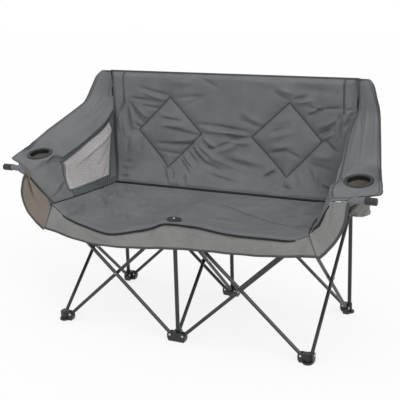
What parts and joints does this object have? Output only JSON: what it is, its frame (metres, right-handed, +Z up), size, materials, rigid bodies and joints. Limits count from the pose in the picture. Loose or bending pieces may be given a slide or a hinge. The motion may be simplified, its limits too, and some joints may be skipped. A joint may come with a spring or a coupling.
{
  "type": "folding camping loveseat",
  "caption": "Folding camping loveseat: scissor steel legs on plastic feet and hubs, sliding back posts, padded sling seat and quilted back, arms with cup holders and mesh sides.",
  "frame": {"origin": "On the ground under the centre of the front middle foot", "axes": "+X across the seat to the right seen from the front, +Y towards the back, +Z up"},
  "size_m": [1.5214, 0.5682, 0.947],
  "materials": {
    "powder_coated_tube": "satin",
    "black_nylon": "matte",
    "grey_cloth": "matte",
    "olive_cloth": "matte",
    "pale_net": "matte",
    "dark_webbing": "matte"
  },
  "bodies": {
    "foot_front_middle": {"foot_front_middle": "black_nylon"},
    "leg_centre_front": {"leg_centre_front": "powder_coated_tube"},
    "leg_centre_back": {"leg_centre_back": "powder_coated_tube"},
    "foot_back_middle": {"foot_back_middle": "black_nylon", "post_back_middle": "powder_coated_tube", "post_pocket_middle": "grey_cloth", "back_panel": "grey_cloth"},
    "hub_front_middle": {"hub_front_middle": "black_nylon", "post_front_middle": "powder_coated_tube", "seat_clamp": "black_nylon", "skirt_front": "olive_cloth", "skirt_gusset_left": "olive_cloth", "skirt_gusset_right": "olive_cloth"},
    "hub_back_middle": {"hub_back_middle": "black_nylon"},
    "seat": {"seat_cushion": "grey_cloth", "seat_sling": "olive_cloth"},
    "leg_front_left_long": {"leg_front_left_long": "powder_coated_tube", "pole_cap_left": "black_nylon"},
    "leg_front_left_short": {"leg_front_left_short": "powder_coated_tube"},
    "foot_front_left": {"foot_front_left": "black_nylon"},
    "hub_front_left": {"hub_front_left": "black_nylon"},
    "leg_side_left_front": {"leg_side_left_front": "powder_coated_tube"},
    "leg_side_left_back": {"leg_side_left_back": "powder_coated_tube"},
    "foot_back_left": {"foot_back_left": "black_nylon", "post_back_left": "powder_coated_tube", "post_pocket_left": "grey_cloth", "arm_left": "grey_cloth", "side_panel_left": "grey_cloth", "side_net_left": "pale_net", "side_band_left": "dark_webbing"},
    "hub_back_left": {"hub_back_left": "black_nylon"},
    "leg_back_left_inner": {"leg_back_left_inner": "powder_coated_tube"},
    "leg_back_left_outer": {"leg_back_left_outer": "powder_coated_tube"},
    "cup_left": {"cup_ring_left": "black_nylon", "cup_pouch_left": "olive_cloth"},
    "leg_front_right_long": {"leg_front_right_long": "powder_coated_tube", "pole_cap_right": "black_nylon"},
    "leg_front_right_short": {"leg_front_right_short": "powder_coated_tube"},
    "foot_front_right": {"foot_front_right": "black_nylon"},
    "hub_front_right": {"hub_front_right": "black_nylon"},
    "leg_side_right_front": {"leg_side_right_front": "powder_coated_tube"},
    "leg_side_right_back": {"leg_side_right_back": "powder_coated_tube"},
    "foot_back_right": {"foot_back_right": "black_nylon", "post_back_right": "powder_coated_tube", "post_pocket_right": "grey_cloth", "arm_right": "grey_cloth", "side_panel_right": "grey_cloth", "side_net_right": "pale_net", "side_band_right": "dark_webbing"},
    "hub_back_right": {"hub_back_right": "black_nylon"},
    "leg_back_right_inner": {"leg_back_right_inner": "powder_coated_tube"},
    "leg_back_right_outer": {"leg_back_right_outer": "powder_coated_tube"},
    "cup_right": {"cup_ring_right": "black_nylon", "cup_pouch_right": "olive_cloth"}
  },
  "joints": [
    {"name": "fold", "type": "hinge", "parent": "foot_front_middle", "child": "leg_centre_front", "pos_m": [-0.0075, 0.021, 0.025], "axis": [1, 0, 0], "range_deg": [0, 42.7], "deforming": ["back_panel", "seat_cushion", "seat_sling", "skirt_front", "skirt_gusset_left", "arm_left", "side_panel_left", "side_net_left", "side_band_left", "skirt_gusset_right", "arm_right", "side_panel_right", "side_net_right", "side_band_right"]},
    {"name": "centre_cross", "type": "hinge", "parent": "leg_centre_front", "child": "leg_centre_back", "pos_m": [0, 0.254, 0.237], "axis": [-1, 0, 0], "range_deg": [0, 85.5]},
    {"name": "back_middle_foot_pin", "type": "hinge", "parent": "leg_centre_back", "child": "foot_back_middle", "pos_m": [0.0075, 0.487, 0.025], "axis": [1, 0, 0], "range_deg": [0, 42.8]},
    {"name": "front_middle_hub_pin", "type": "hinge", "parent": "leg_centre_back", "child": "hub_front_middle", "pos_m": [0.0075, 0.021, 0.449], "axis": [1, 0, 0], "range_deg": [0, 42.8]},
    {"name": "back_middle_hub_pin", "type": "hinge", "parent": "leg_centre_front", "child": "hub_back_middle", "pos_m": [-0.0075, 0.487, 0.449], "axis": [-1, 0, 0], "range_deg": [0, 42.8]},
    {"name": "front_left_long_pin", "type": "hinge", "parent": "foot_front_middle", "child": "leg_front_left_long", "pos_m": [-0.027, -0.0075, 0.025], "axis": [0, 1, 0], "range_deg": [0, 42.8]},
    {"name": "front_left_cross", "type": "hinge", "parent": "leg_front_left_long", "child": "leg_front_left_short", "pos_m": [-0.26, 0, 0.237], "axis": [0, -1, 0], "range_deg": [0, 85.5]},
    {"name": "front_left_foot_pin", "type": "hinge", "parent": "leg_front_left_short", "child": "foot_front_left", "pos_m": [-0.493, 0.0075, 0.025], "axis": [0, 1, 0], "range_deg": [0, 42.8]},
    {"name": "front_left_hub_pin", "type": "hinge", "parent": "leg_front_left_long", "child": "hub_front_left", "pos_m": [-0.493, -0.0075, 0.449], "axis": [0, -1, 0], "range_deg": [0, 42.8]},
    {"name": "side_left_front_pin", "type": "hinge", "parent": "foot_front_left", "child": "leg_side_left_front", "pos_m": [-0.5275, 0.021, 0.025], "axis": [1, 0, 0], "range_deg": [0, 42.8]},
    {"name": "side_left_cross", "type": "hinge", "parent": "leg_side_left_front", "child": "leg_side_left_back", "pos_m": [-0.52, 0.254, 0.237], "axis": [-1, 0, 0], "range_deg": [0, 85.5]},
    {"name": "back_left_foot_pin", "type": "hinge", "parent": "leg_side_left_back", "child": "foot_back_left", "pos_m": [-0.5125, 0.487, 0.025], "axis": [1, 0, 0], "range_deg": [0, 42.8]},
    {"name": "back_left_hub_pin", "type": "hinge", "parent": "leg_side_left_front", "child": "hub_back_left", "pos_m": [-0.5275, 0.487, 0.449], "axis": [-1, 0, 0], "range_deg": [0, 42.8]},
    {"name": "back_left_inner_pin", "type": "hinge", "parent": "foot_back_middle", "child": "leg_back_left_inner", "pos_m": [-0.027, 0.5005, 0.025], "axis": [0, 1, 0], "range_deg": [0, 42.8]},
    {"name": "back_left_cross", "type": "hinge", "parent": "leg_back_left_inner", "child": "leg_back_left_outer", "pos_m": [-0.26, 0.508, 0.237], "axis": [0, -1, 0], "range_deg": [0, 85.5]},
    {"name": "cup_left_gather", "type": "slide", "parent": "foot_back_left", "child": "cup_left", "axis": [0.2, 0.9798, 0], "range_m": [0, 0.336]},
    {"name": "front_right_long_pin", "type": "hinge", "parent": "foot_front_middle", "child": "leg_front_right_long", "pos_m": [0.027, -0.0075, 0.025], "axis": [0, -1, 0], "range_deg": [0, 42.8]},
    {"name": "front_right_cross", "type": "hinge", "parent": "leg_front_right_long", "child": "leg_front_right_short", "pos_m": [0.26, 0, 0.237], "axis": [0, 1, 0], "range_deg": [0, 85.5]},
    {"name": "front_right_foot_pin", "type": "hinge", "parent": "leg_front_right_short", "child": "foot_front_right", "pos_m": [0.493, 0.0075, 0.025], "axis": [0, -1, 0], "range_deg": [0, 42.8]},
    {"name": "front_right_hub_pin", "type": "hinge", "parent": "leg_front_right_long", "child": "hub_front_right", "pos_m": [0.493, -0.0075, 0.449], "axis": [0, 1, 0], "range_deg": [0, 42.8]},
    {"name": "side_right_front_pin", "type": "hinge", "parent": "foot_front_right", "child": "leg_side_right_front", "pos_m": [0.5275, 0.021, 0.025], "axis": [1, 0, 0], "range_deg": [0, 42.8]},
    {"name": "side_right_cross", "type": "hinge", "parent": "leg_side_right_front", "child": "leg_side_right_back", "pos_m": [0.52, 0.254, 0.237], "axis": [-1, 0, 0], "range_deg": [0, 85.5]},
    {"name": "back_right_foot_pin", "type": "hinge", "parent": "leg_side_right_back", "child": "foot_back_right", "pos_m": [0.5125, 0.487, 0.025], "axis": [1, 0, 0], "range_deg": [0, 42.8]},
    {"name": "back_right_hub_pin", "type": "hinge", "parent": "leg_side_right_front", "child": "hub_back_right", "pos_m": [0.5275, 0.487, 0.449], "axis": [-1, 0, 0], "range_deg": [0, 42.8]},
    {"name": "back_right_inner_pin", "type": "hinge", "parent": "foot_back_middle", "child": "leg_back_right_inner", "pos_m": [0.027, 0.5005, 0.025], "axis": [0, -1, 0], "range_deg": [0, 42.8]},
    {"name": "back_right_cross", "type": "hinge", "parent": "leg_back_right_inner", "child": "leg_back_right_outer", "pos_m": [0.26, 0.508, 0.237], "axis": [0, 1, 0], "range_deg": [0, 85.5]},
    {"name": "cup_right_gather", "type": "slide", "parent": "foot_back_right", "child": "cup_right", "axis": [-0.2, 0.9798, 0], "range_m": [0, 0.336]},
    {"name": "seat_gather", "type": "hinge", "parent": "hub_front_middle", "child": "seat", "pos_m": [0, -0.008, 0.475], "axis": [-1, 0, 0], "range_deg": [0, 80.1]}
  ],
  "couplings": [
    {"joint": "centre_cross", "follows": "fold", "ratio": 2},
    {"joint": "back_middle_foot_pin", "follows": "fold", "ratio": 1},
    {"joint": "front_middle_hub_pin", "follows": "fold", "ratio": 1},
    {"joint": "back_middle_hub_pin", "follows": "fold", "ratio": 1},
    {"joint": "front_left_long_pin", "follows": "fold", "ratio": 1},
    {"joint": "front_left_cross", "follows": "fold", "ratio": 2},
    {"joint": "front_left_foot_pin", "follows": "fold", "ratio": 1},
    {"joint": "front_left_hub_pin", "follows": "fold", "ratio": 1},
    {"joint": "side_left_front_pin", "follows": "fold", "ratio": 1},
    {"joint": "side_left_cross", "follows": "fold", "ratio": 2},
    {"joint": "back_left_foot_pin", "follows": "fold", "ratio": 1},
    {"joint": "back_left_hub_pin", "follows": "fold", "ratio": 1},
    {"joint": "back_left_inner_pin", "follows": "fold", "ratio": 1},
    {"joint": "back_left_cross", "follows": "fold", "ratio": 2},
    {"joint": "cup_left_gather", "follows": "fold", "m_per_rad": 0.4492},
    {"joint": "front_right_long_pin", "follows": "fold", "ratio": 1},
    {"joint": "front_right_cross", "follows": "fold", "ratio": 2},
    {"joint": "front_right_foot_pin", "follows": "fold", "ratio": 1},
    {"joint": "front_right_hub_pin", "follows": "fold", "ratio": 1},
    {"joint": "side_right_front_pin", "follows": "fold", "ratio": 1},
    {"joint": "side_right_cross", "follows": "fold", "ratio": 2},
    {"joint": "back_right_foot_pin", "follows": "fold", "ratio": 1},
    {"joint": "back_right_hub_pin", "follows": "fold", "ratio": 1},
    {"joint": "back_right_inner_pin", "follows": "fold", "ratio": 1},
    {"joint": "back_right_cross", "follows": "fold", "ratio": 2},
    {"joint": "cup_right_gather", "follows": "fold", "m_per_rad": 0.4492},
    {"joint": "seat_gather", "follows": "fold", "ratio": 1.8735}
  ]
}
